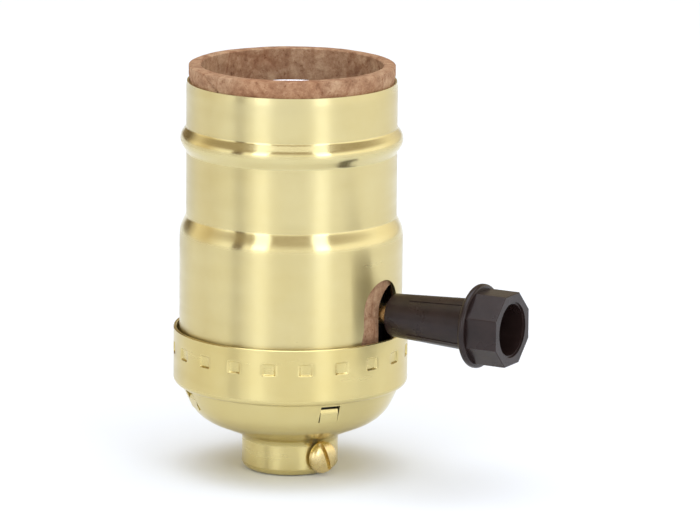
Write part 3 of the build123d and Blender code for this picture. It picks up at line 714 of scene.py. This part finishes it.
def make_bushing():
    """Turned brass nut with a true 27-to-the-inch pipe thread inside and a hole for the set screw."""
    pitch = INCH / 27
    bore, depth = 4.6, 0.5
    low, high = BUSHING_LOW.z, BUSHING_HIGH.z
    flange_r = BUSHING_HIGH.x
    outside = [(5.75, 0.0), (5.9, 0.15), (5.9, 1.1), (6.8, 1.1), (6.98, 1.3), (6.98, high - 1.2)]
    outside += [(flange_r - 0.15, high - 1.2), (flange_r, high - 1.05), (flange_r, high - 0.15)]
    outside += [(flange_r - 0.15, high)]
    inside = [(bore, z) for z in np.arange(high - 0.1, low + 0.05, -pitch / 8)]
    loop = [Vector(p) for p in outside + [(bore + 0.4, high)] + inside + [(bore + 0.4, low)]]

    def threaded(theta, radius, height, side):
        wave = 0.5 - 0.5 * np.cos(2 * math.pi * height / pitch - theta)
        in_bore = radius < bore + 0.01
        return np.where(in_bore, depth * wave, 0), 0 * height

    bushing = lathe("threaded_bushing_brass", loop, even_angles(96), threaded, None, 50)
    cut(bushing, [prism("bushing_screw_hole", screw_hole(24), SET_SCREW_ANGLE, 3.5, 8)])
    finish_piece(bushing, "cap", "turned_brass", "threaded_bushing")


def make_screw(node_name, body, slot_name, direction, centre_z, slot_lean):
    """A slotted screw with a rolled thread and a domed head, lying along a level direction."""
    low, high = cad_mm(node_name)
    tip, top = SCREW_SPAN[node_name]
    head_r = (high.z - low.z) / 2
    seat = top - SCREW_HEAD[node_name]
    pitch, shank_r, depth = 0.75, 1.42, 0.28
    shank = [(shank_r, z) for z in np.arange(tip + 0.35, seat - 0.1, pitch / 8)]
    loop = [(0.01, tip), (shank_r - 0.35, tip), (shank_r - 0.1, tip + 0.2)] + shank + [(shank_r, seat)]
    loop += [(head_r - 0.12, seat), (head_r, seat + 0.12), (head_r, seat + 0.5)]
    rise = top - seat - 0.5
    for step in range(1, 9):
        turn = math.radians(90 * step / 8)
        loop.append((max(0.01, head_r * math.cos(turn) ** 0.75), seat + 0.5 + rise * math.sin(turn)))

    def threaded(theta, radius, height, side):
        wave = 0.5 - 0.5 * np.cos(2 * math.pi * height / pitch - theta)
        on_shank = (np.abs(radius - shank_r) < 0.01) & (height < seat - 0.05)
        return np.where(on_shank, -depth * wave, 0), 0 * height

    loop = [Vector(p) for p in loop]
    screw = lathe(node_name + "_threaded", loop, even_angles(64), threaded, None, 40, closed=False)
    close_poles(screw)
    depth_cut = 0.85
    half, side = 0.65 / 2, head_r + 1
    slot_box = [(-side, -half), (side, -half), (side, half), (-side, half)]
    lean = Matrix.Rotation(slot_lean, 3, "Z")
    verts = [lean @ Vector((x, y, z)) for z in (top - depth_cut, top + 1) for x, y in slot_box]
    faces = [(0, 1, 2, 3), (7, 6, 5, 4)] + [(i, (i + 1) % 4, 4 + (i + 1) % 4, 4 + i) for i in range(4)]
    cut(screw, [new_object("driver_slot", [tuple(v) for v in verts], faces)])
    lay_radially(screw, direction, centre_z)
    finish_piece(screw, body, slot_name, node_name)


def close_poles(piece):
    """Fills the tiny open rings at a lathe's two ends so that the solid is closed."""
    work = bmesh.new()
    work.from_mesh(piece.data)
    open_edges = [e for e in work.edges if e.is_boundary]
    if open_edges:
        bmesh.ops.holes_fill(work, edges=open_edges, sides=0)
    bmesh.ops.recalc_face_normals(work, faces=work.faces)
    work.to_mesh(piece.data)
    work.free()


def lay_radially(piece, direction, centre_z):
    """Lays a piece made up the Z axis along a level direction at a height, with Z staying its side."""
    outward = Vector(direction)
    sideways = Vector((0, 0, 1)).cross(outward)
    basis = Matrix((sideways, Vector((0, 0, 1)), outward)).transposed()
    if basis.determinant() < 0:
        basis = Matrix((-sideways, Vector((0, 0, 1)), outward)).transposed()
    piece.data.transform(Matrix.Translation(Vector((0, 0, centre_z)) * MM) @ basis.to_4x4())


# Tip and top of each screw along its own direction, and the thickness of its head.
SCREW_SPAN = {"set_screw": (4.8, 9.3), "line_screw": (7.6, 11.2), "neutral_screw": (7.6, 11.2)}
SCREW_HEAD = {"set_screw": 1.5, "line_screw": 1.6, "neutral_screw": 1.6}
TERMINAL_SCREW_Z = 20.0


def make_screws():
    set_direction = Vector((math.cos(SET_SCREW_ANGLE), math.sin(SET_SCREW_ANGLE), 0))
    make_screw("set_screw", "set_screw", "turned_brass", set_direction, SET_SCREW_Z, math.radians(110))
    line_direction, neutral_direction = Vector((0, 1, 0)), Vector((0, -1, 0))
    make_screw("line_screw", "line_screw", "turned_brass", line_direction, TERMINAL_SCREW_Z,
               math.radians(25))
    make_screw("neutral_screw", "neutral_screw", "plated_steel", neutral_direction, TERMINAL_SCREW_Z,
               math.radians(-40))


# ---------------------------------------------------------------- stage, light and camera
CAMERA_AZIMUTH = math.radians(29.5)
CAMERA_ELEVATION = math.radians(12.3)
CAMERA_DISTANCE = 0.9
CAMERA_LENS = 297.9
CAMERA_ROLL = math.radians(0.48)
AIM_RIGHT, AIM_UP = 0.009155, 0.002565
TARGET = Vector((0, 0, 0.030))
FLOOR_REACH = 6.0
FLOOR_GAP = 0.0001
SURROUND_STRENGTH = 1.75
COOL = (0.88, 0.97, 1.15)
# Colours of the sweep by bearing from the camera in degrees, and of the ceiling by height.
SWEEP = [
    (-180, (0.20, 0.15, 0.08)),
    (-140, (0.08, 0.05, 0.02)),
    (-122, (0.66, 0.59, 0.44)),
    (-100, (0.50, 0.42, 0.28)),
    (-76, (0.84, 0.84, 0.82)),
    (-65, (0.86, 0.86, 0.84)),
    (-63, (0.07, 0.035, 0.01)),
    (-53, (0.07, 0.035, 0.01)),
    (-50, (0.90, 0.90, 0.90)),
    (-28, (0.95, 0.95, 0.95)),
    (-14, (0.74, 0.74, 0.74)),
    (14, (0.70, 0.70, 0.70)),
    (34, (1.0, 1.0, 1.0)),
    (55, (0.95, 0.94, 0.90)),
    (100, (0.92, 0.89, 0.82)),
    (128, (0.72, 0.67, 0.56)),
    (180, (0.22, 0.19, 0.14)),
]
# Name, azimuth and elevation in degrees, distance, size and power of each soft box.
SOFTBOXES = [
    ("left_box", -33, 25, 1.1, (0.30, 0.76), 1.5),
    ("right_box", 33, 25, 1.1, (0.30, 0.76), 1.7),
    ("top_box", 0, 86, 1.8, (2.2, 2.2), 29),
]
CEILING = [(0.0, (0.22, 0.17, 0.10)), (0.9, (0.24, 0.19, 0.12)), (0.97, (0.62, 0.60, 0.56))]


def direction(azimuth, elevation):
    """Unit vector from the object towards a viewer; azimuth 0 stands at -Y, growing towards +X."""
    level = math.cos(elevation)
    return Vector((math.sin(azimuth) * level, -math.cos(azimuth) * level, math.sin(elevation)))


def make_camera():
    """The viewing angle of the reference, aimed a little past the object so it sits left and low."""
    data = bpy.data.cameras.new("camera")
    camera = bpy.data.objects.new("camera", data)
    scene.collection.objects.link(camera)
    data.sensor_width = 36
    data.lens = CAMERA_LENS
    back = direction(CAMERA_AZIMUTH, CAMERA_ELEVATION)
    right = Vector((math.cos(CAMERA_AZIMUTH), math.sin(CAMERA_AZIMUTH), 0))
    up = back.cross(right)
    camera.location = TARGET + back * CAMERA_DISTANCE
    aim = TARGET + right * AIM_RIGHT + up * AIM_UP
    facing = (camera.location - aim).normalized()
    level = Vector((-facing.y, facing.x, 0)).normalized()
    basis = Matrix((level, facing.cross(level), facing)).transposed()
    roll = Matrix.Rotation(CAMERA_ROLL, 3, "Z")
    camera.rotation_euler = (basis @ roll).to_euler()
    data.clip_end = 20
    scene.camera = camera


def softbox(name, azimuth, elevation, distance, size, power):
    """A rectangular area light that faces the object; its azimuth counts from the camera's."""
    data = bpy.data.lights.new(name, "AREA")
    data.shape = "RECTANGLE"
    data.size, data.size_y = size
    data.energy = power
    data.color = COOL
    lamp = bpy.data.objects.new(name, data)
    scene.collection.objects.link(lamp)
    facing = direction(CAMERA_AZIMUTH + math.radians(azimuth), math.radians(elevation))
    lamp.location = TARGET + facing * distance
    lamp.rotation_euler = facing.to_track_quat("Z", "Y").to_euler()
    return lamp


def make_surround():
    """A studio: a pale sweep low down, with a gap and brighter panels in it, under a dim warm ceiling."""
    world = bpy.data.worlds.new("surround")
    world.use_nodes = True
    tree = world.node_tree
    where = node(tree, "ShaderNodeTexCoord")
    split = node(tree, "ShaderNodeSeparateXYZ")
    tree.links.new(where.outputs["Generated"], split.inputs["Vector"])
    turned = node(tree, "ShaderNodeMapping", vector_type="POINT")
    turned.inputs["Rotation"].default_value = (0, 0, -CAMERA_AZIMUTH)
    tree.links.new(where.outputs["Generated"], turned.inputs["Vector"])
    level = node(tree, "ShaderNodeSeparateXYZ")
    tree.links.new(turned.outputs["Vector"], level.inputs["Vector"])
    back = node(tree, "ShaderNodeMath", operation="MULTIPLY")
    back.inputs[1].default_value = -1.0
    tree.links.new(level.outputs["Y"], back.inputs[0])
    bearing = node(tree, "ShaderNodeMath", operation="ARCTAN2")
    tree.links.new(level.outputs["X"], bearing.inputs[0])
    tree.links.new(back.outputs["Value"], bearing.inputs[1])
    share = span(tree, bearing.outputs["Value"], -math.pi, math.pi, 0, 1)
    belt = ramp(tree, share, [((degrees + 180) / 360, colour) for degrees, colour in SWEEP])
    fade = span(tree, split.outputs["Z"], 0.34, 0.50, 0, 1)
    ceiling = ramp(tree, split.outputs["Z"], CEILING)
    mixed = node(tree, "ShaderNodeMix", data_type="RGBA")
    tree.links.new(fade, mixed.inputs["Factor"])
    tree.links.new(belt, mixed.inputs[6])
    tree.links.new(ceiling, mixed.inputs[7])
    tree.links.new(mixed.outputs[2], tree.nodes["Background"].inputs["Color"])
    tree.nodes["Background"].inputs["Strength"].default_value = SURROUND_STRENGTH
    scene.world = world


def make_stage():
    """A plain pale floor, the surround, a soft box on each side and one overhead."""
    floor_z = min(cad_bounds[0][2], 0.0) - FLOOR_GAP
    mesh = bpy.data.meshes.new("floor")
    reach = FLOOR_REACH
    mesh.from_pydata([(-reach, -reach, floor_z), (reach, -reach, floor_z), (reach, reach, floor_z),
                      (-reach, reach, floor_z)], [], [(0, 1, 2, 3)])
    floor = bpy.data.objects.new("floor", mesh)
    scene.collection.objects.link(floor)
    pale, _, shader = material("pale_floor")
    shader.inputs["Base Color"].default_value = (0.89, 0.93, 0.98, 1)
    shader.inputs["Roughness"].default_value = 0.9
    shader.inputs["Specular IOR Level"].default_value = 0.1
    floor.data.materials.append(pale)
    make_surround()
    for box in SOFTBOXES:
        softbox(*box)
    scene.view_settings.view_transform = "Standard"


dress_cad_nodes()
make_outer_shell()
make_sleeve()
make_cap()
make_screw_shell()
make_bushing()
make_screws()
make_camera()
make_stage()
